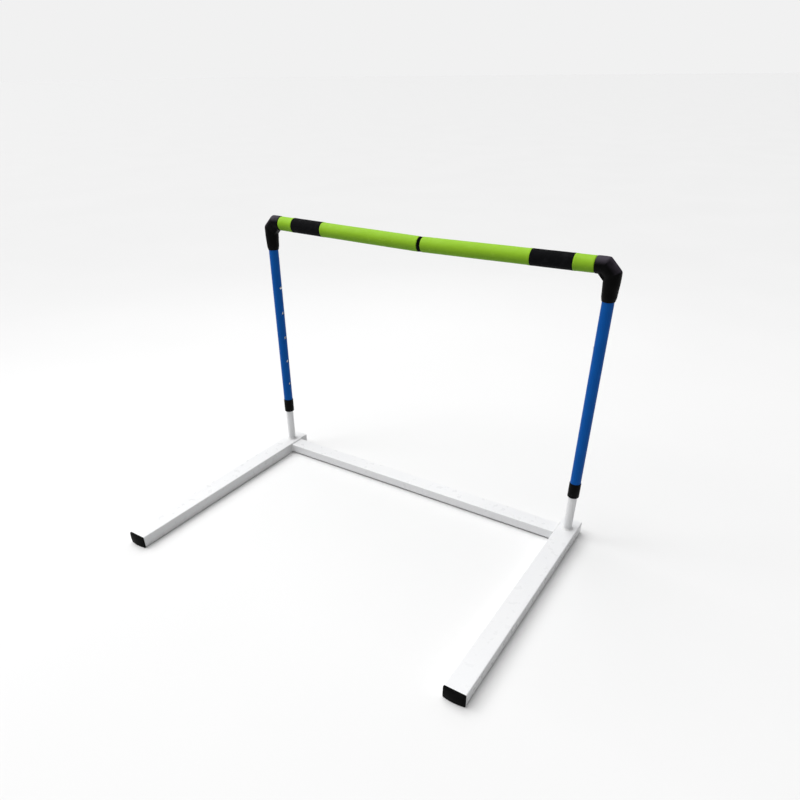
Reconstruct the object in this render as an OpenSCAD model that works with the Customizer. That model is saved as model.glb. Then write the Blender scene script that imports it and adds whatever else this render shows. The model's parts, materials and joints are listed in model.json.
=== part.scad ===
// Split-bar training hurdle: a welded U-shaped base, two height-adjustable posts and a
// foam-covered bar in two halves, each of which swings open on its own post.
// Millimetres. X runs along the bar, Y to the rear, Z up; the base stands on z = 0.

/* [Base] */
// Distance between the axes of the two posts
post_spacing = 950; // [800:10:1200]
// Reach of a leg from the post axis to the tip of its front plug
front_reach = 645; // [400:1:800]
// Reach of a leg behind the post axis
rear_reach = 43; // [30:1:80]
// Width of a leg tube
leg_w = 51; // [40:1:60]
// Height of a leg tube
leg_h = 32; // [30:1:50]
// Wall of a leg tube
leg_wall = 2; // [1.5:0.1:3]
// Outer corner radius of the leg and cross tubes
corner_r = 2.2; // [2:0.1:4]
// Width of the cross tube, front to back
cross_w = 47; // [30:1:50]
// Height of the cross tube
cross_h = 25; // [15:1:25]
// Gap between the floor and the cross tube
cross_lift = 4; // [0:1:4]
// Distance from the post axis to the front face of the cross tube
cross_front = 33; // [25:1:35]
// Wall of the cross tube
cross_wall = 1.5; // [1.2:0.1:2]
// Thickness of the plate that closes a leg's rear end
rear_plate_t = 2.5; // [1.5:0.5:4]

/* [Front plugs] */
// Thickness of a plug's flange, before its dome
plug_flange = 4.5; // [1:0.5:5]
// Height of the dome on a plug's outer face
plug_dome = 3; // [1:0.5:5]
// Depth of the part of a plug that goes into the leg
plug_depth = 20; // [10:1:40]
// Wall of that part
plug_wall = 2; // [1.5:0.5:3]

/* [Posts] */
// Outer diameter of a stub
stub_d = 22.2; // [21:0.1:22.4]
// Wall of a stub
stub_wall = 1.5; // [1:0.1:2]
// Height of the top of a stub above the floor
stub_top = 560; // [545:1:590]
// Outer diameter of the sliding upright tube
tube_d = 26.9; // [26.8:0.1:27.5]
// Wall of the upright tube
tube_wall = 2; // [1.5:0.1:2.1]
// Height of the collar's lower end above the floor, at the lowest setting
collar_low = 134; // [60:1:140]
// Length of the collar
collar_len = 41; // [25:0.5:60]
// Outer diameter of the collar
collar_d = 29.5; // [29.5:0.5:34]
// Thickness of the collar's lip under the upright tube
collar_lip = 3; // [2:0.5:5]

/* [Height setting] */
// Number of holes in an upright tube
hole_count = 5; // [2:1:5]
// Distance between the holes, one height step
hole_pitch = 75; // [50:1:75]
// Height of the top hole above the floor, where the snap button sits at the lowest setting
top_hole_z = 530; // [520:1:535]
// Diameter of a hole in the upright tube
hole_d = 9; // [8.6:0.1:10]
// Diameter of the snap button's head
button_d = 8; // [6:0.1:8]
// How far the button's head stands out of the upright tube
button_proud = 1.5; // [1:0.5:2]

/* [Swivel] */
// Diameter of the pivot pin
pin_d = 10; // [8:0.5:12]
// Radial running clearance of the pin in its bush
pin_clearance = 0.05; // [0.02:0.01:0.1]
// Height of the upright tube's top above the floor, at the lowest setting
tube_top = 668; // [660:1:668]
// Radial clearance between the elbow and the upright tube
elbow_clearance = 0.4; // [0.3:0.1:0.6]

/* [Elbow] */
// Height of the elbow's mouth above the floor
elbow_low = 636; // [630:1:640]
// Outer diameter of the elbow where its mouth's bevel ends
elbow_mouth_d = 33.5; // [33:0.5:36]
// Outer diameter of the elbow at its bend
elbow_d = 37; // [36:0.5:42]
// Outer diameter of the elbow's end on the bar
elbow_end_d = 37; // [37:0.5:42]
// Reach of the elbow's end from the post axis
elbow_reach = 38.5; // [36:0.5:60]
// How far each mitre of the bend lies from the corner of the two axes
elbow_mitre = 17; // [15:1:18]
// How far from that corner the slope of the elbow's throat web would cut each axis
elbow_throat = 47; // [44:1:48]
// Width of the throat web
elbow_web = 20; // [10:1:21]

/* [Bar] */
// Height of the bar's axis above the floor, at the posts
bar_z = 709.5; // [708.5:0.5:712]
// How far each half of the bar droops towards the middle, in degrees
bar_droop = 0.85; // [0:0.05:1.5]
// How far the seam between the halves lies from the middle, towards the right
seam_offset = 7.5; // [0:0.5:15]
// Gap between the foam ends of the two halves
seam_gap = 9; // [9:0.5:20]
// Outer diameter of the foam
foam_d = 36; // [30:0.5:36.5]
// Outer diameter of the pipe inside the foam
pipe_d = 22; // [20:0.5:24]
// Wall of that pipe
pipe_wall = 1.8; // [1.5:0.1:3]
// Outer diameter of the black wrap
wrap_d = 37; // [36.5:0.5:42]
// Distance from the post axis to the black wrap
wrap_start = 85; // [60:1:120]
// Length of the black wrap
wrap_len = 98; // [50:1:150]
// Thickness of the cap on the end of each half
cap_t = 3; // [1:0.5:4]
// Diameter of that cap
cap_d = 35; // [30:0.5:36]

/* [Hidden] */
$fn = 96;

// Each side is drawn about its post axis with +X towards the other post.
LEFT = -1;
RIGHT = 1;

// The origin is in the middle of the base's outline on the floor.
post_x = post_spacing / 2;
post_y = (front_reach - rear_reach) / 2;

// Base
plug_total = plug_flange + plug_dome;
leg_front = -front_reach + plug_total;
leg_rear = rear_reach - rear_plate_t;
leg_len = leg_rear - leg_front;
cross_half = post_x - leg_w / 2;
cross_mid_y = -cross_front + cross_w / 2;
cross_mid_z = cross_lift + cross_h / 2;
plug_gap = 0.5;
plug_rib_t = 2;
plug_dome_r = (pow(leg_w / 2, 2) + pow(plug_dome, 2)) / (2 * plug_dome);
weld_leg = 4;
cross_weld_leg = 2.5;

// Posts
stub_bore = stub_d - 2 * stub_wall;
tube_bore = tube_d - 2 * tube_wall;
collar_bore = stub_d + 0.6;
tube_low = collar_low + collar_lip;
button_play = 0.25;

// Snap button clip: a strip bent to a V, its open end up
clip_w = 8;
clip_t = 0.8;
clip_low = top_hole_z - 50;
clip_high = top_hole_z + 10;
clip_half = stub_bore / 2 - 1.2;
clip_bend_r = 2;
clip_slant = atan((clip_half - clip_bend_r) / (clip_high - clip_low));
clip_leg = (clip_high - clip_low) / cos(clip_slant);
button_tip = tube_d / 2 + button_proud;
button_root = 6.2;
button_dome = 1.2;
button_dome_r = (pow(button_d / 2, 2) + pow(button_dome, 2)) / (2 * button_dome);

// Swivel, from the bottom up
bush_len = 30;
bush_flange_t = 2;
bush_low = tube_top - bush_len;
washer_t = 1.5;
face_gap = 0.1;
washer_low = tube_top + bush_flange_t + face_gap;
web_low = washer_low + washer_t;
pin_head_t = 3;
pin_head_d = 16;
pin_head_low = web_low + 7;
groove_d = pin_d - 2;
groove_h = 1.3;
groove_low = bush_low - 0.3 - groove_h;
pin_low = groove_low - 4;
clip_ring_d = 18;
clip_ring_t = 1.2;
clip_ring_slot = 5;

// Elbow
mouth_bevel = 9;
mouth_tip_d = tube_d + 2 * elbow_clearance + 1.6;
pipe_start = 8;
bend_tilt = (90 + bar_droop) / 2;
bend_low = bar_z - elbow_mitre;
web_inset = 12;
link_d = elbow_d - 0.6;
link_len = 2 * elbow_mitre * sin((90 - bar_droop) / 2);

// Bar: u is the distance from the post axis along the drooping bar
left_half = post_x + seam_offset - seam_gap / 2;
right_half = post_x - seam_offset - seam_gap / 2;

function half_len(side) = side == LEFT ? left_half : right_half;

// Puts one side's pieces at its post, turned so that +X points at the other post
module at_post(side) {
    translate([side * post_x, post_y, 0])
        if (side == RIGHT) mirror([1, 0, 0]) children();
        else children();
}

// Puts pieces drawn along +Z on the drooping axis of the bar
module along_bar() {
    translate([0, 0, bar_z]) rotate([0, 90 + bar_droop, 0]) children();
}

module round_rect(w, h, r) {
    square([w - 2 * r, h], center = true);
    square([w, h - 2 * r], center = true);
    for (x = [-1, 1], y = [-1, 1])
        translate([x * (w / 2 - r), y * (h / 2 - r)]) circle(r, $fn = 48);
}

module rect_tube_profile(w, h, wall) {
    difference() {
        round_rect(w, h, corner_r);
        round_rect(w - 2 * wall, h - 2 * wall, max(corner_r - wall, 0.4));
    }
}

module ring(outer_d, inner_d, h) {
    difference() {
        cylinder(d = outer_d, h = h);
        translate([0, 0, -1]) cylinder(d = inner_d, h = h + 2);
    }
}

// ---- Base ----

module cross_tube() {
    color("white")
        translate([-cross_half, post_y + cross_mid_y, cross_mid_z])
            rotate([90, 0, 90])
                linear_extrude(2 * cross_half) rect_tube_profile(cross_w, cross_h, cross_wall);
}

module leg_tube(side) {
    color("white") at_post(side)
        translate([0, leg_rear, leg_h / 2]) rotate([90, 0, 0])
            linear_extrude(leg_len) rect_tube_profile(leg_w, leg_h, leg_wall);
}

// Domed plug with a hollow ribbed insert
module front_plug(side) {
    insert_w = leg_w - 2 * leg_wall - plug_gap;
    insert_h = leg_h - 2 * leg_wall - plug_gap;
    color([0.07, 0.07, 0.07]) at_post(side) translate([0, leg_front, leg_h / 2]) {
        intersection() {
            rotate([90, 0, 0]) linear_extrude(plug_total) round_rect(leg_w, leg_h, corner_r);
            translate([0, plug_dome_r - plug_total, 0]) sphere(plug_dome_r, $fn = 128);
        }
        difference() {
            translate([-insert_w / 2, -0.5, -insert_h / 2])
                cube([insert_w, plug_depth + 0.5, insert_h]);
            translate([-insert_w / 2 + plug_wall, 0, -insert_h / 2 + plug_wall])
                cube([insert_w - 2 * plug_wall, plug_depth + 1, insert_h - 2 * plug_wall]);
        }
        for (x = [-1, 1])
            translate([x * insert_w / 6 - plug_rib_t / 2, -0.5, -insert_h / 2])
                cube([plug_rib_t, plug_depth + 0.5, insert_h]);
    }
}

module rear_plate(side) {
    color("white") at_post(side)
        translate([0, rear_reach, leg_h / 2]) rotate([90, 0, 0])
            linear_extrude(rear_plate_t) round_rect(leg_w, leg_h, corner_r);
}

module stub_tube(side) {
    color("white") at_post(side) difference() {
        translate([0, 0, leg_h]) ring(stub_d, stub_bore, stub_top - leg_h);
        translate([0, 0, top_hole_z]) rotate([0, 90, 0])
            cylinder(d = button_d + 2 * button_play, h = stub_d);
    }
}

// Fillet bead round the foot of a stub
module stub_weld(side) {
    color("white") at_post(side) translate([0, 0, leg_h])
        rotate_extrude()
            polygon([[stub_d / 2, 0], [stub_d / 2 + weld_leg, 0], [stub_d / 2 + weld_leg * 0.45, weld_leg * 0.4],
                     [stub_d / 2, weld_leg]]);
}

// Bead between a leg and the end of the cross tube: over the top and down both sides
module cross_weld(side) {
    corner = cross_weld_leg / 2;
    color("white") at_post(side) translate([leg_w / 2, -cross_front, cross_lift]) {
        translate([0, -corner, cross_h]) rotate([-90, 0, 0]) linear_extrude(cross_w + 2 * corner)
            polygon([[0, 0], [cross_weld_leg, 0], [0, -cross_weld_leg]]);
        for (y = [0, 1])
            translate([0, y * cross_w, 0]) mirror([0, 1 - y, 0]) linear_extrude(cross_h + corner)
                polygon([[0, 0], [cross_weld_leg, 0], [0, cross_weld_leg]]);
    }
}

// One-piece spring clip: two slanted legs from a round bend, and the button's head
module snap_button(side) {
    color("silver") at_post(side) {
        rotate([90, 0, 0]) translate([0, 0, -clip_w / 2]) linear_extrude(clip_w) {
            translate([0, clip_low]) difference() {
                circle(clip_bend_r, $fn = 48);
                circle(clip_bend_r - clip_t, $fn = 48);
                translate([-5, 0]) square([10, 5]);
            }
            for (s = [0, 1])
                mirror([s, 0, 0]) translate([clip_bend_r, clip_low]) rotate(-clip_slant)
                    translate([-clip_t, -clip_t / 2]) square([clip_t, clip_leg]);
        }
        intersection() {
            translate([button_root, 0, top_hole_z]) rotate([0, 90, 0])
                cylinder(d = button_d, h = button_tip - button_root);
            translate([button_tip - button_dome_r, 0, top_hole_z]) sphere(button_dome_r);
        }
    }
}

// ---- Uprights ----

module upright_tube(side) {
    color([0.03, 0.25, 0.51]) at_post(side) difference() {
        translate([0, 0, tube_low]) ring(tube_d, tube_bore, tube_top - tube_low);
        for (i = [0 : hole_count - 1])
            translate([0, 0, top_hole_z - i * hole_pitch]) rotate([0, 90, 0])
                cylinder(d = hole_d, h = tube_d);
    }
}

module collar(side) {
    color([0.08, 0.08, 0.08]) at_post(side) translate([0, 0, collar_low]) {
        ring(collar_d, collar_bore, collar_lip);
        translate([0, 0, collar_lip]) ring(collar_d, tube_d, collar_len - collar_lip);
    }
}

module top_bush(side) {
    bore = pin_d + 2 * pin_clearance;
    color("ivory") at_post(side) {
        translate([0, 0, bush_low]) ring(tube_bore, bore, bush_len);
        translate([0, 0, tube_top]) ring(tube_d, bore, bush_flange_t);
    }
}

// ---- Swinging arms ----

module thrust_washer(side) {
    color("ivory") at_post(side) translate([0, 0, washer_low]) ring(tube_d - 1, pin_d, washer_t);
}

// Headed pin with a groove for the retaining clip
module pivot_pin(side) {
    color("silver") at_post(side) {
        translate([0, 0, pin_low]) cylinder(d = pin_d, h = groove_low - pin_low);
        translate([0, 0, groove_low]) cylinder(d = groove_d, h = groove_h);
        translate([0, 0, groove_low + groove_h])
            cylinder(d = pin_d, h = pin_head_low - groove_low - groove_h);
        translate([0, 0, pin_head_low]) cylinder(d = pin_head_d, h = pin_head_t);
    }
}

module retaining_clip(side) {
    color("silver") at_post(side) translate([0, 0, groove_low]) difference() {
        ring(clip_ring_d, groove_d, clip_ring_t);
        translate([0, -clip_ring_slot / 2, -1]) cube([clip_ring_d, clip_ring_slot, clip_ring_t + 2]);
    }
}

// Everything beyond a mitre plane through the origin, tilted towards the bar
module beyond_mitre(tilt) {
    rotate([0, tilt, 0]) translate([-elbow_d, -elbow_d, 0]) cube(2 * elbow_d);
}

// Outside of the elbow: a tapered socket, a mitred link, the arm on the bar, and a web in the throat
module elbow_body() {
    difference() {
        rotate_extrude()
            polygon([[0, elbow_low], [mouth_tip_d / 2, elbow_low], [elbow_mouth_d / 2, elbow_low + mouth_bevel],
                     [elbow_d / 2, bend_low - elbow_d / 2], [elbow_d / 2, bar_z], [0, bar_z]]);
        translate([0, 0, bend_low]) beyond_mitre(bend_tilt / 2);
    }
    translate([0, 0, bend_low]) difference() {
        intersection() {
            rotate([0, bend_tilt, 0]) translate([0, 0, -elbow_d / 2])
                cylinder(d = link_d, h = link_len + elbow_d);
            beyond_mitre(bend_tilt / 2);
        }
        rotate([0, bend_tilt, 0]) translate([0, 0, link_len])
            beyond_mitre(bend_tilt / 2);
    }
    along_bar() intersection() {
        rotate_extrude()
            polygon([[0, 0], [elbow_d / 2, 0], [elbow_d / 2, elbow_mitre + elbow_d / 4],
                     [elbow_end_d / 2, elbow_reach - 1], [elbow_end_d / 2 - 1, elbow_reach], [0, elbow_reach]]);
        translate([0, 0, elbow_mitre]) beyond_mitre(-bend_tilt / 2);
    }
    translate([web_inset, elbow_web / 2, bar_z - web_inset]) rotate([90, 0, 0]) linear_extrude(elbow_web)
        polygon([[0, 0], [0, 2 * web_inset - elbow_throat], [elbow_throat - 2 * web_inset, 0]]);
}

// The pin and its head are moulded into the web between the two sockets
module elbow(side) {
    color([0.05, 0.05, 0.05]) at_post(side) difference() {
        elbow_body();
        translate([0, 0, elbow_low - 1])
            cylinder(d = tube_d + 2 * elbow_clearance, h = web_low - elbow_low + 1);
        translate([0, 0, web_low - 1]) cylinder(d = pin_d, h = pin_head_low - web_low + 2);
        translate([0, 0, pin_head_low]) cylinder(d = pin_head_d, h = pin_head_t);
        along_bar() translate([0, 0, pipe_start]) cylinder(d = pipe_d, h = elbow_reach);
    }
}

module bar_pipe(side) {
    color("gainsboro") at_post(side) along_bar() translate([0, 0, pipe_start])
        ring(pipe_d, pipe_d - 2 * pipe_wall, half_len(side) - pipe_start);
}

module foam_sleeve(side) {
    color([0.52, 0.73, 0.18]) at_post(side) along_bar() translate([0, 0, elbow_reach])
        ring(foam_d, pipe_d, half_len(side) - elbow_reach);
}

module foam_wrap(side) {
    color([0.09, 0.09, 0.1]) at_post(side) along_bar() translate([0, 0, wrap_start])
        ring(wrap_d, foam_d, wrap_len);
}

module bar_cap(side) {
    color([0.05, 0.06, 0.05]) at_post(side) along_bar() translate([0, 0, half_len(side)])
        cylinder(d = cap_d, h = cap_t);
}

cross_tube();
leg_tube(LEFT);  // left_leg_tube
leg_tube(RIGHT);  // right_leg_tube
front_plug(LEFT);  // left_front_plug
front_plug(RIGHT);  // right_front_plug
rear_plate(LEFT);  // left_rear_plate
rear_plate(RIGHT);  // right_rear_plate
stub_tube(LEFT);  // left_stub_tube
stub_tube(RIGHT);  // right_stub_tube
stub_weld(LEFT);  // left_stub_weld
stub_weld(RIGHT);  // right_stub_weld
cross_weld(LEFT);  // left_cross_weld
cross_weld(RIGHT);  // right_cross_weld
snap_button(LEFT);  // left_snap_button
snap_button(RIGHT);  // right_snap_button
upright_tube(LEFT);  // left_upright_tube
upright_tube(RIGHT);  // right_upright_tube
collar(LEFT);  // left_collar
collar(RIGHT);  // right_collar
top_bush(LEFT);  // left_top_bush
top_bush(RIGHT);  // right_top_bush
thrust_washer(LEFT);  // left_thrust_washer
thrust_washer(RIGHT);  // right_thrust_washer
pivot_pin(LEFT);  // left_pivot_pin
pivot_pin(RIGHT);  // right_pivot_pin
retaining_clip(LEFT);  // left_retaining_clip
retaining_clip(RIGHT);  // right_retaining_clip
elbow(LEFT);  // left_elbow
elbow(RIGHT);  // right_elbow
bar_pipe(LEFT);  // left_bar_pipe
bar_pipe(RIGHT);  // right_bar_pipe
foam_sleeve(LEFT);  // left_foam_sleeve
foam_sleeve(RIGHT);  // right_foam_sleeve
foam_wrap(LEFT);  // left_foam_wrap
foam_wrap(RIGHT);  // right_foam_wrap
bar_cap(LEFT);  // left_bar_cap
bar_cap(RIGHT);  // right_bar_cap
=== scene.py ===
"""Looks of a split-bar training hurdle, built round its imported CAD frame.

Metres, in the frame's axes: X along the bar, Y to the rear, Z up.
"""

import json
import math

import bmesh
import bpy
from mathutils import Matrix, Vector, noise


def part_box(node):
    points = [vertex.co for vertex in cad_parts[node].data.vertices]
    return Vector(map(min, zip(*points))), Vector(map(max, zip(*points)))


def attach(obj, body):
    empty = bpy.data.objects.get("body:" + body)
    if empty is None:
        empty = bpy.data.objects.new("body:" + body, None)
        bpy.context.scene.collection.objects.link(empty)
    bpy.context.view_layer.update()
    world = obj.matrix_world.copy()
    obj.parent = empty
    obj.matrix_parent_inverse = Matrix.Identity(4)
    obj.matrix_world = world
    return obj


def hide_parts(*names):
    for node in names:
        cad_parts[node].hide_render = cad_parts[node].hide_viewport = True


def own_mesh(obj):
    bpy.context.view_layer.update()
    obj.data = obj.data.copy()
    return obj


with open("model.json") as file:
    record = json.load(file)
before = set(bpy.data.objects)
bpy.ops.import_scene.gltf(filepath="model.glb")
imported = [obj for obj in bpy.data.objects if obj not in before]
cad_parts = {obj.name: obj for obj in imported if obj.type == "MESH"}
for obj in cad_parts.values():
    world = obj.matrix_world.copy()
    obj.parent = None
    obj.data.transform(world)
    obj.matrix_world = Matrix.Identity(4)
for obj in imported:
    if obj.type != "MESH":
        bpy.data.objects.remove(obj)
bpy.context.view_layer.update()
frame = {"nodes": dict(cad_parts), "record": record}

MM = 0.001
SIDES = ("left", "right")


# ---- Camera, light and floor ----

# The camera looks down on the hurdle from its front right. Angles are in degrees.
CAMERA_FROM_MIDDLE = (0.8281, -1.1152, 1.0537)
CAMERA_AZIMUTH = 33.46
CAMERA_ELEVATION = 33.16
CAMERA_ROLL = -0.67
CAMERA_LENS_MM = 28.88
CAMERA_SENSOR_MM = 36
CAMERA_SHIFT = (0.0194, 0.1143)
CAMERA_CLIP = (0.05, 500)

# The silk is one broad light overhead: the way it lies, its width in degrees, its strength.
SILK = ("silk_overhead", (-0.46, -0.04, 1.0), 75, 3.5)
# Each softbox: its name, its place, the point it is aimed at, its side and its power.
SOFTBOXES = (("softbox_left", (-1.5, -0.6, 1.9), (-0.35, 0.3, 0.7), 0.7, 8),
             ("softbox_behind", (-0.9, 1.9, 1.7), (0.2, 0.3, 0.7), 0.9, 4))
AMBIENT = 0.16
BACKDROP = 0.88

FLOOR_SIDE = 400
FLOOR_DROP = 0.3 * MM


def make_camera():
    azimuth = math.radians(CAMERA_AZIMUTH)
    elevation = math.radians(CAMERA_ELEVATION)
    roll = math.radians(CAMERA_ROLL)
    back = Vector((math.sin(azimuth) * math.cos(elevation),
                   -math.cos(azimuth) * math.cos(elevation),
                   math.sin(elevation)))
    level_right = Vector((math.cos(azimuth), math.sin(azimuth), 0))
    level_up = back.cross(level_right)
    right = level_right * math.cos(roll) + level_up * math.sin(roll)
    up = back.cross(right)
    data = bpy.data.cameras.new("camera")
    data.lens = CAMERA_LENS_MM
    data.sensor_width = CAMERA_SENSOR_MM
    data.shift_x, data.shift_y = CAMERA_SHIFT
    data.clip_start, data.clip_end = CAMERA_CLIP
    camera = bpy.data.objects.new("camera", data)
    turn = Matrix((right, up, back)).transposed().to_4x4()
    camera.matrix_world = Matrix.Translation(CAMERA_FROM_MIDDLE) @ turn
    bpy.context.scene.collection.objects.link(camera)
    bpy.context.scene.camera = camera


def overhead_silk(name, towards, spread, strength):
    """A broad, far light: the same brightness all over the floor, and soft shadows."""
    data = bpy.data.lights.new(name, "SUN")
    data.angle = math.radians(spread)
    data.energy = strength
    light = bpy.data.objects.new(name, data)
    light.rotation_euler = Vector(towards).to_track_quat("Z", "Y").to_euler()
    bpy.context.scene.collection.objects.link(light)


def softbox(name, place, aim, side, power):
    data = bpy.data.lights.new(name, "AREA")
    data.shape = "SQUARE"
    data.size = side
    data.energy = power
    light = bpy.data.objects.new(name, data)
    light.location = place
    light.rotation_euler = (Vector(aim) - Vector(place)).to_track_quat("-Z", "Y").to_euler()
    bpy.context.scene.collection.objects.link(light)


def make_world():
    """White all round: bright where the camera sees it, and dim as a light on the hurdle."""
    world = bpy.data.worlds.new("studio")
    bpy.context.scene.world = world
    world.use_nodes = True
    nodes, links = world.node_tree.nodes, world.node_tree.links
    nodes.clear()
    ambient = nodes.new("ShaderNodeBackground")
    ambient.inputs["Strength"].default_value = AMBIENT
    backdrop = nodes.new("ShaderNodeBackground")
    backdrop.inputs["Strength"].default_value = BACKDROP
    for shade in (ambient, backdrop):
        shade.inputs["Color"].default_value = (1, 1, 1, 1)
    seen = nodes.new("ShaderNodeLightPath")
    either = nodes.new("ShaderNodeMixShader")
    output = nodes.new("ShaderNodeOutputWorld")
    links.new(seen.outputs["Is Camera Ray"], either.inputs[0])
    links.new(ambient.outputs[0], either.inputs[1])
    links.new(backdrop.outputs[0], either.inputs[2])
    links.new(either.outputs[0], output.inputs["Surface"])


def make_floor():
    half = FLOOR_SIDE / 2
    corners = [(-half, -half, 0), (half, -half, 0), (half, half, 0), (-half, half, 0)]
    mesh = bpy.data.meshes.new("floor")
    mesh.from_pydata(corners, [], [(0, 1, 2, 3)])
    floor = bpy.data.objects.new("floor", mesh)
    floor.location.z = -FLOOR_DROP
    bpy.context.scene.collection.objects.link(floor)
    floor.data.materials.append(floor_paint())


def make_studio():
    bpy.context.scene.view_settings.view_transform = "Standard"
    overhead_silk(*SILK)
    for box in SOFTBOXES:
        softbox(*box)
    make_world()
    make_floor()


# ---- Materials ----

def linear(red, green, blue):
    """A screen colour, 0 to 255, as a shader colour."""
    def channel(value):
        value /= 255
        return value / 12.92 if value <= 0.04045 else ((value + 0.055) / 1.055) ** 2.4
    return (channel(red), channel(green), channel(blue), 1)


class Paint:
    """A material being built: a Principled shader and short calls that add nodes to it."""

    def __init__(self, name, metallic=0.0, coat=0.0, coat_roughness=0.1, sheen=0.0, specular=0.5):
        self.material = bpy.data.materials.new(name)
        self.material.use_nodes = True
        self.nodes = self.material.node_tree.nodes
        self.links = self.material.node_tree.links
        self.shader = self.nodes["Principled BSDF"]
        self.shader.inputs["Metallic"].default_value = metallic
        self.shader.inputs["Coat Weight"].default_value = coat
        self.shader.inputs["Coat Roughness"].default_value = coat_roughness
        self.shader.inputs["Sheen Weight"].default_value = sheen
        self.shader.inputs["Specular IOR Level"].default_value = specular
        self.coordinates = self.nodes.new("ShaderNodeTexCoord")
        self.relief = None

    def place(self, stretch):
        """Points on the piece, in metres, stretched along each axis."""
        mapping = self.nodes.new("ShaderNodeMapping")
        mapping.inputs["Scale"].default_value = stretch
        self.links.new(self.coordinates.outputs["Object"], mapping.inputs["Vector"])
        return mapping.outputs["Vector"]

    def axis(self, letter, source="Object"):
        """One coordinate of the place, or of the UV or the Normal."""
        split = self.nodes.new("ShaderNodeSeparateXYZ")
        self.links.new(self.coordinates.outputs[source], split.inputs[0])
        return split.outputs[letter]

    def facing_up(self, low, high):
        """0 where the normal's Z is under low, 1 where it is over high."""
        return self.spread(self.axis("Z", "Normal"), low, high)

    def noise(self, scale, detail=2.0, rough=0.5, stretch=(1, 1, 1)):
        node = self.nodes.new("ShaderNodeTexNoise")
        node.inputs["Scale"].default_value = scale
        node.inputs["Detail"].default_value = detail
        node.inputs["Roughness"].default_value = rough
        self.links.new(self.place(stretch), node.inputs["Vector"])
        return node.outputs["Fac"]

    def cells(self, scale):
        """Distance to the middle of the nearest of many small cells."""
        node = self.nodes.new("ShaderNodeTexVoronoi")
        node.inputs["Scale"].default_value = scale
        self.links.new(self.place((1, 1, 1)), node.inputs["Vector"])
        return node.outputs["Distance"]

    def math(self, operation, a, b=0.0):
        node = self.nodes.new("ShaderNodeMath")
        node.operation = operation
        for socket, value in zip(node.inputs, (a, b)):
            if isinstance(value, (int, float)):
                socket.default_value = value
            else:
                self.links.new(value, socket)
        return node.outputs[0]

    def spread(self, value, low, high, to_low=0.0, to_high=1.0):
        """value taken from low..high to to_low..to_high, with its ends held."""
        node = self.nodes.new("ShaderNodeMapRange")
        node.interpolation_type = "SMOOTHSTEP"
        self.links.new(value, node.inputs["Value"])
        for name, number in (("From Min", low), ("From Max", high),
                             ("To Min", to_low), ("To Max", to_high)):
            node.inputs[name].default_value = number
        return node.outputs["Result"]

    def mix(self, factor, a, b):
        """Colour a where factor is 0, colour b where it is 1."""
        node = self.nodes.new("ShaderNodeMix")
        node.data_type = "RGBA"
        self.links.new(factor, node.inputs[0])
        for socket, value in ((node.inputs[6], a), (node.inputs[7], b)):
            if isinstance(value, tuple):
                socket.default_value = value
            else:
                self.links.new(value, socket)
        return node.outputs[2]

    def colour(self, value):
        """Sets the base colour. A later call takes the place of an earlier one."""
        self.base = value
        self.links.new(value, self.shader.inputs["Base Color"])

    def roughness(self, value):
        self.links.new(value, self.shader.inputs["Roughness"])

    def bump(self, height, depth, strength):
        """Relief of the given depth in metres, on top of the relief so far."""
        node = self.nodes.new("ShaderNodeBump")
        node.inputs["Strength"].default_value = strength
        node.inputs["Distance"].default_value = depth
        self.links.new(height, node.inputs["Height"])
        if self.relief:
            self.links.new(self.relief, node.inputs["Normal"])
        self.relief = node.outputs["Normal"]
        self.links.new(self.relief, self.shader.inputs["Normal"])


def floor_paint():
    paint = Paint("studio_floor", specular=0.2)
    cloud = paint.noise(1.5, 2)
    paint.colour(paint.mix(cloud, linear(225, 225, 225), linear(228, 228, 228)))
    paint.roughness(paint.spread(cloud, 0, 1, 0.75, 0.85))
    return paint.material


SCUFF_HEIGHT = 7 * MM


def white_steel():
    """Gloss powder coat: orange peel, faint clouding, and grey scuffs where it meets the floor."""
    paint = Paint("white_steel", coat=0.15, coat_roughness=0.18, specular=0.4)
    cloud = paint.noise(9, 3)
    clean = paint.mix(cloud, linear(222, 223, 225), linear(227, 227, 227))
    low = paint.spread(paint.axis("Z"), 0.0, SCUFF_HEIGHT, 1, 0)
    grit = paint.spread(paint.noise(160, 6, 0.7), 0.52, 0.66)
    scuffs = paint.math("MULTIPLY", low, grit)
    speck = paint.spread(paint.noise(420, 3, 0.6), 0.74, 0.80, 0, 0.2)
    marks = paint.math("MAXIMUM", paint.math("MULTIPLY", scuffs, 0.7), speck)
    paint.colour(paint.mix(marks, clean, linear(128, 125, 120)))
    gloss = paint.spread(paint.noise(55, 4), 0.3, 0.7, 0.26, 0.40)
    paint.roughness(paint.math("ADD", gloss, paint.math("MULTIPLY", marks, 0.3)))
    paint.bump(paint.noise(70, 2), 0.5 * MM, 0.25)
    paint.bump(paint.noise(620, 2, 0.4), 0.09 * MM, 0.6)
    return paint.material


def weld_paint():
    """The same coat over a weld bead, where it pools a little."""
    paint = Paint("weld_paint", coat=0.15, coat_roughness=0.2, specular=0.4)
    paint.colour(paint.mix(paint.noise(150, 4), linear(214, 214, 214), linear(230, 230, 230)))
    paint.roughness(paint.spread(paint.noise(240, 3), 0.3, 0.7, 0.30, 0.48))
    paint.bump(paint.noise(480, 3), 0.25 * MM, 0.6)
    return paint.material


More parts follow.
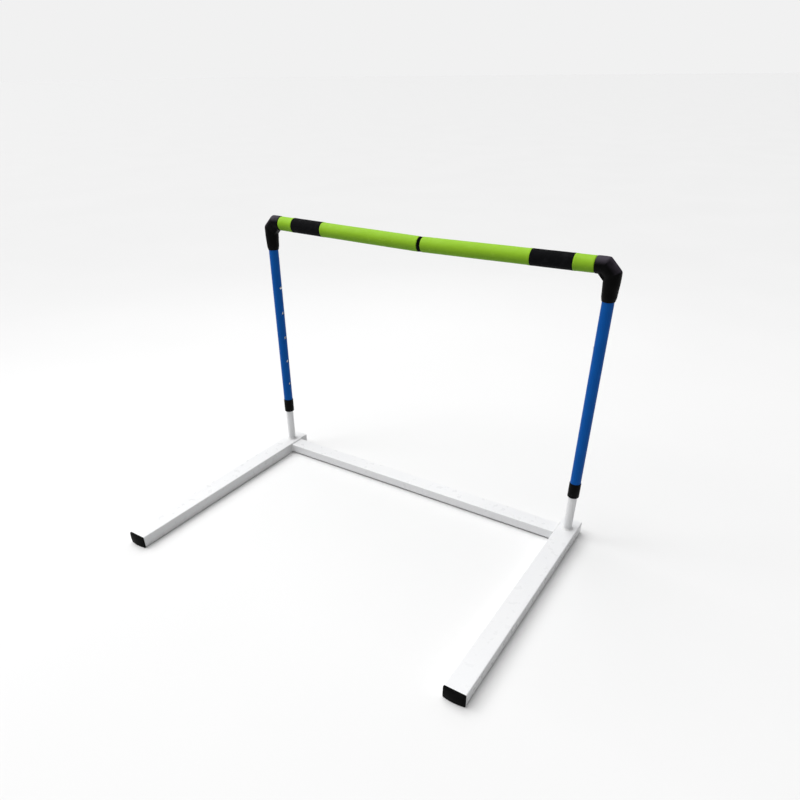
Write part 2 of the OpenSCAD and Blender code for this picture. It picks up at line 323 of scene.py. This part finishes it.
def blue_steel():
    """Satin blue powder coat with fine wear along the way the tube slides."""
    paint = Paint("blue_steel", coat=0.02, coat_roughness=0.2, specular=0.05)
    cloud = paint.noise(30, 3)
    base = paint.mix(cloud, linear(2, 74, 149), linear(3, 84, 165))
    lengthwise = paint.noise(1, 5, 0.6, stretch=(1100, 1100, 22))
    streak = paint.spread(lengthwise, 0.66, 0.78, 0, 0.30)
    paint.colour(paint.mix(streak, base, linear(50, 104, 170)))
    gloss = paint.spread(paint.noise(80, 4), 0.3, 0.7, 0.30, 0.42)
    paint.roughness(paint.math("ADD", gloss, paint.math("MULTIPLY", streak, 0.4)))
    paint.bump(paint.noise(650, 2, 0.4), 0.07 * MM, 0.6)
    paint.bump(streak, 0.03 * MM, 0.4)
    return paint.material


def plated_steel():
    """Bright zinc plate, lightly brushed along its length."""
    paint = Paint("plated_steel", metallic=1.0)
    paint.colour(paint.mix(paint.noise(180, 4), linear(188, 189, 192), linear(214, 214, 212)))
    brushed = paint.noise(1, 4, 0.6, stretch=(1500, 1500, 120))
    paint.roughness(paint.spread(brushed, 0.3, 0.7, 0.20, 0.38))
    paint.bump(brushed, 0.02 * MM, 0.4)
    return paint.material


def moulded_plastic(name, dark, light, grain_depth, roughness, specular=0.05):
    """Black injection moulding: a fine even grain, with rubbed patches that shine a little.

    Returns the Paint, so that more can be added to it.
    """
    paint = Paint(name, specular=specular)
    rubbed = paint.spread(paint.noise(38, 5, 0.6), 0.45, 0.72)
    paint.colour(paint.mix(rubbed, dark, light))
    paint.roughness(paint.spread(rubbed, 0, 1, roughness + 0.08, roughness - 0.06))
    paint.bump(paint.noise(45, 2), 0.25 * MM, 0.25)
    paint.bump(paint.cells(1500), grain_depth, 0.7)
    paint.bump(paint.noise(2600, 2), grain_depth * 0.6, 0.5)
    return paint


def nylon():
    """Natural turned nylon, with faint tool rings."""
    paint = Paint("nylon", specular=0.4)
    paint.colour(paint.mix(paint.noise(90, 3), linear(222, 217, 200), linear(234, 230, 217)))
    rings = paint.noise(1, 2, 0.5, stretch=(60, 60, 2400))
    paint.roughness(paint.spread(rings, 0.3, 0.7, 0.42, 0.55))
    paint.bump(rings, 0.03 * MM, 0.5)
    return paint.material


def pipe_plastic():
    """Extruded pale plastic, with fine lines along the bar."""
    paint = Paint("pipe_plastic", specular=0.4)
    paint.colour(paint.mix(paint.noise(60, 3), linear(205, 206, 206), linear(218, 218, 216)))
    lines = paint.noise(1, 3, 0.5, stretch=(25, 1600, 1600))
    paint.roughness(paint.spread(lines, 0.3, 0.7, 0.35, 0.48))
    paint.bump(lines, 0.03 * MM, 0.4)
    return paint.material


def green_foam():
    """Closed-cell foam with a smooth skin, with painted shade: a lighter green on the faces that
    look up and a darker green underneath.

    It has pores, darkened in their pits as painted shade, fine wrinkles round the bar, and
    handling marks.
    """
    paint = Paint("green_foam", specular=0.15)
    cloud = paint.noise(26, 4, 0.55)
    # Painted light and shade: a lit green for the top and a shaded green for the underside, mixed
    # by which way the surface faces.
    painted_lit_top = paint.mix(cloud, linear(137, 184, 33), linear(148, 196, 43))
    painted_shaded_underside = paint.mix(cloud, linear(90, 132, 8), linear(100, 142, 13))
    base = paint.mix(paint.facing_up(-0.75, 0.6), painted_shaded_underside, painted_lit_top)
    pores = paint.cells(950)
    # Painted shade: the pits of the pores are darkened.
    pore_shade = paint.spread(pores, 0.05, 0.35, 0.45, 0)
    with_pore_shade = paint.mix(pore_shade, base, linear(104, 150, 22))
    rubbed = paint.spread(paint.noise(70, 6, 0.65), 0.58, 0.76, 0, 0.35)
    paint.colour(paint.mix(rubbed, with_pore_shade, linear(160, 196, 74)))
    paint.roughness(paint.spread(paint.noise(120, 4), 0.3, 0.7, 0.52, 0.68))
    paint.bump(paint.noise(1, 4, 0.6, stretch=(420, 60, 60)), 0.28 * MM, 0.45)
    paint.bump(paint.noise(240, 3, 0.55), 0.20 * MM, 0.45)
    paint.bump(pores, 0.10 * MM, 0.6)
    return paint.material


RIB_ROUND = 1.1 * MM
RIB_ALONG = 0.9 * MM


def wrap_cloth():
    """Black elastic wrap: a fine woven rib along and round the bar, a little fluff and wear."""
    def rib(letter, pitch):
        phase = paint.math("MULTIPLY", paint.axis(letter, "UV"), 2 * math.pi / pitch)
        return paint.math("SINE", phase)

    paint = Paint("wrap_cloth", sheen=0.015, specular=0.04)
    weave = paint.math("MULTIPLY", rib("X", RIB_ROUND), rib("Y", RIB_ALONG))
    worn = paint.spread(paint.noise(60, 5, 0.6), 0.45, 0.75)
    thread = paint.mix(paint.spread(weave, -1, 1), linear(6, 6, 8), linear(16, 16, 18))
    paint.colour(paint.mix(paint.math("MULTIPLY", worn, 0.5), thread, linear(26, 26, 29)))
    paint.roughness(paint.spread(worn, 0, 1, 0.82, 0.70))
    paint.bump(paint.noise(90, 3), 0.35 * MM, 0.3)
    paint.bump(weave, 0.12 * MM, 0.7)
    return paint.material


PARTING_LINE = (0.15 * MM, 0.5 * MM)


def elbow_plastic():
    """Matte black moulding with a painted highlight on the faces that look up, and a parting line
    down the middle of its outside.
    """
    paint = moulded_plastic("elbow_plastic", linear(4, 4, 4), linear(10, 10, 11), 0.10 * MM, 0.44)
    # Painted highlight: a pale purple-grey in patches on the upward faces, in place of a
    # reflection of the light above.
    patches = paint.spread(paint.noise(28, 4), 0.25, 0.55)
    painted_top_highlight = paint.math("MULTIPLY", paint.facing_up(0.15, 0.9), patches)
    paint.colour(paint.mix(painted_top_highlight, paint.base, linear(64, 59, 68)))
    off_line = paint.math("ABSOLUTE", paint.math("SUBTRACT", paint.axis("Y"), POST_Y))
    paint.bump(paint.spread(off_line, *PARTING_LINE, 1, 0), 0.2 * MM, 0.5)
    return paint.material


def make_materials():
    collar = moulded_plastic("collar_plastic", linear(6, 6, 6), linear(14, 14, 13),
                             0.06 * MM, 0.42)
    plug = moulded_plastic("plug_plastic", linear(3, 3, 3), linear(10, 10, 10),
                           0.09 * MM, 0.5, 0.04)
    rubber = moulded_plastic("cap_rubber", linear(7, 8, 7), linear(14, 15, 14),
                             0.06 * MM, 0.62)
    return {
        "white": white_steel(), "weld": weld_paint(), "blue": blue_steel(),
        "steel": plated_steel(), "nylon": nylon(), "pipe": pipe_plastic(),
        "foam": green_foam(), "wrap": wrap_cloth(), "elbow": elbow_plastic(),
        "collar": collar.material, "plug": plug.material, "rubber": rubber.material,
    }


# ---- Mesh helpers ----

NOTHING = 1e-7
ROUND_STEPS = 96
CORNER_STEPS = 5


def new_piece(name, mesh, material, body, slot, *nodes):
    """Puts a finished mesh in the scene, riding on its body in place of its CAD nodes."""
    piece = bpy.data.objects.new(name, mesh)
    bpy.context.scene.collection.objects.link(piece)
    piece.data.materials.clear()
    piece.data.materials.append(material)
    for polygon in piece.data.polygons:
        polygon.use_smooth = True
    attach(piece, body)
    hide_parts(*nodes)
    return piece


def revolved(name, outline, start, axis, steps=ROUND_STEPS, shape=None):
    """A closed outline of (distance along the axis, radius) turned round the axis from start.

    shape(along, radius, angle) may return a changed radius. UV is (round, along) in metres.
    """
    axis = Vector(axis).normalized()
    side = axis.orthogonal().normalized()
    other = axis.cross(side)
    build = bmesh.new()
    rings = []
    for step in range(steps):
        angle = 2 * math.pi * step / steps
        out = side * math.cos(angle) + other * math.sin(angle)
        ring = []
        for along, radius in outline:
            changed = shape(along, radius, angle) if shape else radius
            ring.append(build.verts.new(Vector(start) + axis * along + out * changed))
        rings.append(ring)
    uv = build.loops.layers.uv.new("UVMap")
    round_length = 2 * math.pi * max(radius for _, radius in outline)
    count = len(outline)
    for step in range(steps):
        here, there = rings[step], rings[(step + 1) % steps]
        for i in range(count):
            j = (i + 1) % count
            if outline[i][1] < NOTHING and outline[j][1] < NOTHING:
                continue
            face = build.faces.new((here[i], here[j], there[j], there[i]))
            corners = ((step, i), (step, j), (step + 1, j), (step + 1, i))
            for loop, (at, point) in zip(face.loops, corners):
                loop[uv].uv = (round_length * at / steps, outline[point][0])
    bmesh.ops.remove_doubles(build, verts=build.verts, dist=NOTHING)
    bmesh.ops.recalc_face_normals(build, faces=build.faces)
    mesh = bpy.data.meshes.new(name)
    build.to_mesh(mesh)
    build.free()
    return mesh


def rounded_corner(along, radius, size, turn_to):
    """Points of a quarter circle round (along, radius), ending at turn_to, in degrees."""
    points = []
    for step in range(CORNER_STEPS, -1, -1):
        angle = math.radians(turn_to + 90 * step / CORNER_STEPS)
        points.append((along + size * math.cos(angle), radius + size * math.sin(angle)))
    return points


def softened(node, voxel, rounds):
    """A CAD node's mesh remeshed finely, with its sharp edges rounded off."""
    source = bpy.data.objects.new(node + "_source", frame["nodes"][node].data.copy())
    remesh = source.modifiers.new("remesh", "REMESH")
    remesh.mode = "VOXEL"
    remesh.voxel_size = voxel
    return smoothed(source, rounds)


def smoothed(source, rounds, group=""):
    """The mesh of an object after its modifiers and rounds of smoothing, where group has weight.

    With no group it is smoothed all over. The object itself is used up.
    """
    bpy.context.scene.collection.objects.link(source)
    smooth = source.modifiers.new("smooth", "SMOOTH")
    smooth.factor = 0.5
    smooth.iterations = rounds
    smooth.vertex_group = group
    graph = bpy.context.evaluated_depsgraph_get()
    mesh = bpy.data.meshes.new_from_object(source.evaluated_get(graph))
    bpy.data.objects.remove(source)
    return mesh


def displace(mesh, amount):
    """Moves each vertex along its normal by amount(place)."""
    moves = [vertex.normal * amount(vertex.co) for vertex in mesh.vertices]
    for vertex, move in zip(mesh.vertices, moves):
        vertex.co += move
    mesh.update()


# ---- Places taken from the frame ----

def middle(node):
    low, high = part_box(node)
    return (low + high) / 2


def upright_radius(node):
    """Radius of a round node that stands upright, from its box."""
    low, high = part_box(node)
    return (high.x - low.x) / 2


POST_Y = middle("left_stub_tube").y


def bar_axis(side):
    """Direction of one half of the bar, from its post to the seam."""
    return (middle(side + "_bar_cap") - middle(side + "_foam_sleeve")).normalized()


def bar_span(side, node):
    """(start, length, radius) of a round node on the bar's axis, from its box."""
    low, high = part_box(node)
    axis = bar_axis(side)
    radius = (high.y - low.y) / 2
    tilt = math.hypot(axis.y, axis.z)
    length = (high.x - low.x - 2 * radius * tilt) / abs(axis.x)
    return (low + high) / 2 - axis * length / 2, length, radius


# ---- Pieces ----

FOAM_RING_STEP = 2.2 * MM
FOAM_END_ROUND = 2.6 * MM
FOAM_END_FLAT = 2 * MM
FOAM_SEED = {"left": (3.1, 7.7, 1.3), "right": (9.2, 2.4, 5.8)}
# How far the skin rises and falls, in millimetres, and how often along it, per metre.
FOAM_SLOW_WAVE, FOAM_SLOW_RATE = 0.22, 14
FOAM_QUICK_WAVE, FOAM_QUICK_RATE = 0.10, 90
FOAM_NIP = 0.25
FOAM_SWELL = 0.55
FOAM_SWELL_REACH = 3 * MM


def make_foam(side, material):
    """The foam sleeve: a soft, uneven skin that swells beside the wrap and is nipped under it."""
    start, length, radius = bar_span(side, side + "_foam_sleeve")
    wrap_at, wrap_length, _ = bar_span(side, side + "_foam_wrap")
    wrap_from = (wrap_at - start).dot(bar_axis(side))
    wrap_to = wrap_from + wrap_length
    bore = bar_span(side, side + "_bar_pipe")[2]
    seed = Vector(FOAM_SEED[side])

    def skin(along, r, angle):
        if r < radius - FOAM_END_ROUND * 1.1:
            return r
        around = Vector((math.cos(angle), math.sin(angle), 0)) * 0.9
        slow = noise.noise(around + seed + Vector((0, 0, along * FOAM_SLOW_RATE)))
        quick = noise.noise(around * 3 + seed + Vector((0, 0, along * FOAM_QUICK_RATE)))
        swell = 0.0
        for edge, way in ((wrap_from, -1), (wrap_to, 1)):
            beside = (along - edge) * way
            if beside > 0:
                past_peak = (beside - FOAM_SWELL_REACH) / FOAM_SWELL_REACH
                swell += FOAM_SWELL * math.exp(-past_peak ** 2)
        nip = FOAM_NIP if wrap_from < along < wrap_to else 0.0
        return r + (FOAM_SLOW_WAVE * slow + FOAM_QUICK_WAVE * quick + swell - nip) * MM

    straight = length - 2 * FOAM_END_ROUND
    count = int(straight / FOAM_RING_STEP)
    ends = radius - FOAM_END_ROUND
    outline = [(0, bore), (0, bore + FOAM_END_FLAT)]
    outline += rounded_corner(FOAM_END_ROUND, ends, FOAM_END_ROUND, 90)
    outline += [(FOAM_END_ROUND + straight * i / count, radius) for i in range(1, count)]
    outline += rounded_corner(length - FOAM_END_ROUND, ends, FOAM_END_ROUND, 0)
    outline += [(length, bore + FOAM_END_FLAT), (length, bore)]
    mesh = revolved(side + "_foam", outline, start, bar_axis(side), shape=skin)
    piece = new_piece(side + "_foam", mesh, material, side + "_arm", "green_foam",
                      side + "_foam_sleeve")


WRAP_RINGS = 60
WRAP_GRIP = 0.3 * MM
WRAP_LAP_TURNS = 0.12
# Heights in millimetres of the lapped edge, the slack and the hems, and how deep it all lies.
WRAP_LAP, WRAP_SLACK, WRAP_HEM, WRAP_SINK = 0.35, 0.16, 0.22, 0.2
WRAP_HEM_IN = 2.5 * MM
WRAP_HEM_REACH = 2.2 * MM


def make_wrap(side, material):
    """The black wrap: rolled edges, one lapped edge along it, and slack between the edges."""
    start, length, radius = bar_span(side, side + "_foam_wrap")
    inner = bar_span(side, side + "_foam_sleeve")[2] - WRAP_GRIP
    edge = (radius - inner) / 2
    hems = (WRAP_HEM_IN, length - WRAP_HEM_IN)

    def cloth(along, r, angle):
        if r < radius - edge * 0.9:
            return r
        lap = WRAP_LAP if 0 < angle < WRAP_LAP_TURNS * 2 * math.pi else 0.0
        place = Vector((math.cos(angle) * 2, math.sin(angle) * 2, along * 60))
        slack = WRAP_SLACK * noise.noise(place)
        hem = WRAP_HEM * sum(math.exp(-((along - at) / WRAP_HEM_REACH) ** 2) for at in hems)
        return r + (lap + slack + hem - WRAP_SINK) * MM

    straight = length - 2 * edge
    outline = rounded_corner(edge, radius - edge, edge, 90)
    outline += [(edge + straight * i / WRAP_RINGS, radius) for i in range(1, WRAP_RINGS)]
    outline += rounded_corner(length - edge, radius - edge, edge, 0)
    outline += [(length, inner), (0, inner)]
    mesh = revolved(side + "_wrap", outline, start, bar_axis(side), shape=cloth)
    piece = new_piece(side + "_wrap", mesh, material, side + "_arm", "black_foam",
                      side + "_foam_wrap")


CAP_STEPS = 72
CAP_RIM = 0.9 * MM
CAP_BEVEL = 0.3 * MM


def make_bar_cap(side, material):
    """The end disc: a rounded rim, and a shallow dished face with a raised middle."""
    start, length, radius = bar_span(side, side + "_bar_cap")
    outline = [(0, 0), (0, radius - CAP_BEVEL), (CAP_BEVEL, radius)]
    outline += rounded_corner(length - CAP_RIM, radius - CAP_RIM, CAP_RIM, 0)
    outline += [(length, radius - 2.5 * MM), (length - 0.7 * MM, radius - 3.6 * MM),
                (length - 0.9 * MM, radius * 0.4), (length - 0.4 * MM, radius * 0.28),
                (length - 0.4 * MM, 0)]
    mesh = revolved(side + "_end_cap", outline, start, bar_axis(side), CAP_STEPS)
    new_piece(side + "_end_cap", mesh, material, side + "_arm", "cap_rubber", side + "_bar_cap")


ELBOW_VOXEL, ELBOW_ROUNDS = 0.75 * MM, 8
# Distance from the bend's corner to a ridge, and how far from a ridge the rounding reaches.
ELBOW_MITRE = 17 * MM
RIDGE_WIDTH = 8 * MM
RIDGE_ROUNDS = 90
RIDGE_INWARD = 4 * MM
HOLLOW_DEPTH, HOLLOW_RATE = 0.25 * MM, 45


def make_elbow(side, material):
    """The elbow: its mitred bend's ridges rounded, and the faint hollows of a thick moulding."""
    mesh = softened(side + "_elbow", ELBOW_VOXEL, ELBOW_ROUNDS)
    source = bpy.data.objects.new(side + "_elbow_blank", mesh)
    along = bar_axis(side)
    start = bar_span(side, side + "_foam_sleeve")[0]
    corner = start - along * ((start.x - middle(side + "_stub_tube").x) / along.x)
    down = Vector((0, 0, -1))
    link = (along - down).normalized()
    ridges = ((corner + along * ELBOW_MITRE, (along + link).normalized()),
              (corner + down * ELBOW_MITRE, (down - link).normalized()))
    group = source.vertex_groups.new(name="ridge")
    for vertex in source.data.vertices:
        off = min(abs((vertex.co - point).dot(normal)) for point, normal in ridges)
        outside = (corner - vertex.co).dot(along + down) > -RIDGE_INWARD
        if outside and off < RIDGE_WIDTH:
            group.add([vertex.index], 1 - (off / RIDGE_WIDTH) ** 2, "REPLACE")
    mesh = smoothed(source, RIDGE_ROUNDS, group.name)
    displace(mesh, lambda place: HOLLOW_DEPTH * noise.noise(place * HOLLOW_RATE))
    new_piece(side + "_elbow_moulding", mesh, material, side + "_arm", "elbow_rubber",
              side + "_elbow")


COLLAR_FOOT_ROUND = 0.8 * MM
COLLAR_PLAY = 0.3 * MM


def make_collar(side, material):
    """The collar: a rounded foot with a groove above it, and a bevelled mouth at the top."""
    low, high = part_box(side + "_collar")
    radius = upright_radius(side + "_collar")
    tube_radius = upright_radius(side + "_upright_tube")
    bore = upright_radius(side + "_stub_tube") + COLLAR_PLAY
    height = high.z - low.z
    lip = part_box(side + "_upright_tube")[0].z - low.z
    foot = COLLAR_FOOT_ROUND
    outline = [(0, bore), (0, radius - foot)]
    outline += rounded_corner(foot, radius - foot, foot, 90)
    groove = [(2.6 * MM, radius), (3.2 * MM, radius - 0.35 * MM),
              (3.9 * MM, radius - 0.35 * MM), (4.5 * MM, radius - 0.1 * MM)]
    wall = [(height * 0.5, radius - 0.05 * MM), (height - 2 * MM, radius - 0.1 * MM)]
    mouth = [(height - 0.9 * MM, radius - 0.35 * MM), (height - 0.2 * MM, radius - 0.9 * MM),
             (height, tube_radius + 0.15 * MM), (height, tube_radius)]
    outline += groove + wall + mouth + [(lip, tube_radius), (lip, bore)]
    centre = middle(side + "_collar")
    mesh = revolved(side + "_collar_sleeve", outline, (centre.x, centre.y, low.z), (0, 0, 1))
    new_piece(side + "_collar_sleeve", mesh, material, side + "_upright", "collar_plastic",
              side + "_collar")


PLUG_VOXEL, PLUG_ROUNDS = 0.5 * MM, 5


def make_front_plug(side, material):
    """The plug in the front end of a leg, with its edges rounded."""
    mesh = softened(side + "_front_plug", PLUG_VOXEL, PLUG_ROUNDS)
    new_piece(side + "_end_plug", mesh, material, "base", "plug_plastic", side + "_front_plug")


WELD_VOXEL, WELD_ROUNDS = 0.35 * MM, 3
RIPPLE_PITCH = 2.6 * MM
RIPPLE_HEIGHT = 0.38 * MM
RIPPLE_MEAN = 0.45
RING_DEPTH = 1.7 * MM


def make_welds(side, material):
    """Weld beads with the scalloped ripple of each pass."""
    foot = middle(side + "_stub_weld")
    foot_radius = upright_radius(side + "_stub_weld")

    def ripple(phase):
        return RIPPLE_HEIGHT * (abs(math.sin(math.pi * phase / RIPPLE_PITCH)) - RIPPLE_MEAN)

    def ring_ripple(place):
        angle = math.atan2(place.y - foot.y, place.x - foot.x)
        outer = math.hypot(place.y - foot.y, place.x - foot.x) > foot_radius * 0.78
        if not outer or place.z <= foot.z - RING_DEPTH:
            return 0.0
        return ripple(angle * foot_radius * 0.9)

    def line_ripple(place):
        return ripple(place.y + place.z)

    for node, rise in (("_stub_weld", ring_ripple), ("_cross_weld", line_ripple)):
        mesh = softened(side + node, WELD_VOXEL, WELD_ROUNDS)
        displace(mesh, rise)
        new_piece(side + node + "_bead", mesh, material, "base", "white_steel", side + node)


CLIP_VOXEL, CLIP_ROUNDS = 0.3 * MM, 2


def make_snap_button(side, material):
    """The spring clip, with its edges rounded, riding on the button's body."""
    node = side + "_snap_button"
    mesh = softened(node, CLIP_VOXEL, CLIP_ROUNDS)
    piece = new_piece(side + "_spring_clip", mesh, material, side + "_button", "spring_steel",
                      node)
    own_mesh(piece)


FINISH_OF_SLOT = {"white_steel": "white", "blue_steel": "blue", "spring_steel": "steel",
                  "bush_nylon": "nylon", "pipe_plastic": "pipe"}


def dress_frame(materials):
    """The CAD nodes whose shape is right keep it, and get their real finish."""
    for part in frame["record"]["subparts"]:
        finish = FINISH_OF_SLOT.get(part["material_slot"])
        if finish:
            node = frame["nodes"][part["node"]]
            node.data.materials.clear()
            node.data.materials.append(materials[finish])


make_camera()
make_studio()
MATERIALS = make_materials()
dress_frame(MATERIALS)
for SIDE in SIDES:
    make_front_plug(SIDE, MATERIALS["plug"])
    make_welds(SIDE, MATERIALS["weld"])
    make_snap_button(SIDE, MATERIALS["steel"])
    make_collar(SIDE, MATERIALS["collar"])
    make_elbow(SIDE, MATERIALS["elbow"])
    make_foam(SIDE, MATERIALS["foam"])
    make_wrap(SIDE, MATERIALS["wrap"])
    make_bar_cap(SIDE, MATERIALS["rubber"])
